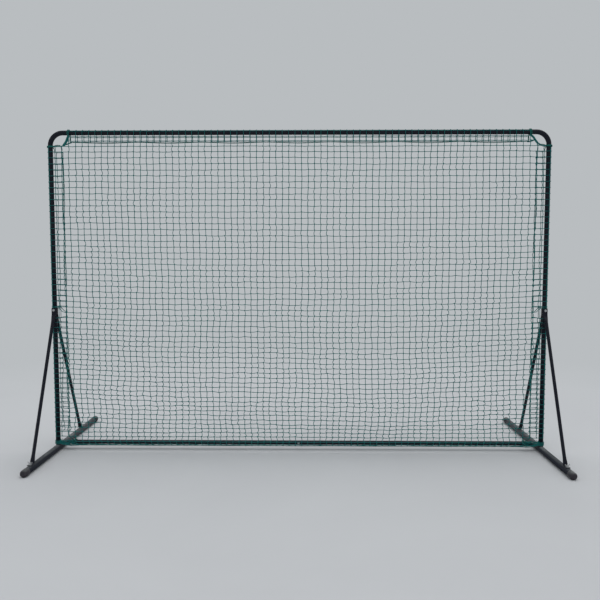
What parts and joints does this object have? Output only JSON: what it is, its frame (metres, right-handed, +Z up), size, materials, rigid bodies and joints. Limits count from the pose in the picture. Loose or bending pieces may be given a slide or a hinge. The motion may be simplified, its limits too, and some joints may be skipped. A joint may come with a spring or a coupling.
{
  "type": "sports field divider fence",
  "caption": "Free-standing black tube frame on long foot bars with bolted stays, covered with a green knotted net to stop balls.",
  "frame": {"origin": "on the floor, midway between the foot bars and midway along them", "axes": "+X along the fence to its right as seen from the front, -Y to the front where the foot bars are shorter from the posts, +Z up"},
  "size_m": [3.0128, 1.2, 1.9536],
  "materials": {
    "black_paint": "satin",
    "zinc": "zinc plated",
    "black_rubber": "matte",
    "green_twine": "matte twine",
    "green_rope": "matte rope"
  },
  "bodies": {
    "frame": {"bottom_border_rope": "green_rope", "bottom_joint_bolt": "zinc", "bottom_joint_nut": "zinc", "bottom_rail_left": "black_paint", "bottom_rail_right": "black_paint", "front_left_foot_cap": "black_rubber", "front_left_stay": "black_paint", "front_left_stay_washer": "zinc", "front_right_foot_cap": "black_rubber", "front_right_stay": "black_paint", "front_right_stay_washer": "zinc", "left_border_rope": "green_rope", "left_foot_bar": "black_paint", "left_foot_tie": "green_rope", "left_frame_tube": "black_paint", "left_post_tie": "green_rope", "left_rail_tie": "green_rope", "left_stay_bolt": "zinc", "net_bottom_edge": "green_twine", "net_front": "green_twine", "net_left_edge": "green_twine", "net_right_edge": "green_twine", "net_top_edge": "green_twine", "rear_left_foot_cap": "black_rubber", "rear_left_stay": "black_paint", "rear_left_stay_washer": "zinc", "rear_right_foot_cap": "black_rubber", "rear_right_stay": "black_paint", "rear_right_stay_washer": "zinc", "right_border_rope": "green_rope", "right_foot_bar": "black_paint", "right_foot_tie": "green_rope", "right_frame_tube": "black_paint", "right_post_tie": "green_rope", "right_rail_tie": "green_rope", "right_stay_bolt": "zinc", "top_border_rope": "green_rope", "top_joint_bolt": "black_paint", "top_joint_nut": "black_paint"},
    "front_left_stay_wing_nut": {"front_left_stay_wing_nut": "zinc"},
    "rear_left_stay_wing_nut": {"rear_left_stay_wing_nut": "zinc"},
    "left_bottom_rail_wing_nut": {"left_bottom_rail_wing_nut": "zinc"},
    "left_stay_bolt_wing_nut": {"left_stay_bolt_wing_nut": "zinc"},
    "front_right_stay_wing_nut": {"front_right_stay_wing_nut": "zinc"},
    "rear_right_stay_wing_nut": {"rear_right_stay_wing_nut": "zinc"},
    "right_bottom_rail_wing_nut": {"right_bottom_rail_wing_nut": "zinc"},
    "right_stay_bolt_wing_nut": {"right_stay_bolt_wing_nut": "zinc"}
  },
  "joints": [
    {"name": "front_left_stay_wing_nut_turn", "type": "hinge", "parent": "frame", "child": "front_left_stay_wing_nut", "pos_m": [-1.4857, -0.505, 0.04485], "axis": [0, 0, 1], "continuous": true},
    {"name": "rear_left_stay_wing_nut_turn", "type": "hinge", "parent": "frame", "child": "rear_left_stay_wing_nut", "pos_m": [-1.4857, 0.305, 0.04485], "axis": [0, 0, 1], "continuous": true},
    {"name": "left_bottom_rail_wing_nut_turn", "type": "hinge", "parent": "frame", "child": "left_bottom_rail_wing_nut", "pos_m": [-1.4857, -0.055, 0.04295], "axis": [0, 0, 1], "continuous": true},
    {"name": "left_stay_bolt_wing_nut_turn", "type": "hinge", "parent": "frame", "child": "left_stay_bolt_wing_nut", "pos_m": [-1.4857, -0.0817, 0.871], "axis": [0, 1, 0], "continuous": true},
    {"name": "front_right_stay_wing_nut_turn", "type": "hinge", "parent": "frame", "child": "front_right_stay_wing_nut", "pos_m": [1.4857, -0.505, 0.04485], "axis": [0, 0, 1], "continuous": true},
    {"name": "rear_right_stay_wing_nut_turn", "type": "hinge", "parent": "frame", "child": "rear_right_stay_wing_nut", "pos_m": [1.4857, 0.305, 0.04485], "axis": [0, 0, 1], "continuous": true},
    {"name": "right_bottom_rail_wing_nut_turn", "type": "hinge", "parent": "frame", "child": "right_bottom_rail_wing_nut", "pos_m": [1.4857, -0.055, 0.04295], "axis": [0, 0, 1], "continuous": true},
    {"name": "right_stay_bolt_wing_nut_turn", "type": "hinge", "parent": "frame", "child": "right_stay_bolt_wing_nut", "pos_m": [1.4857, -0.0817, 0.871], "axis": [0, 1, 0], "continuous": true}
  ]
}
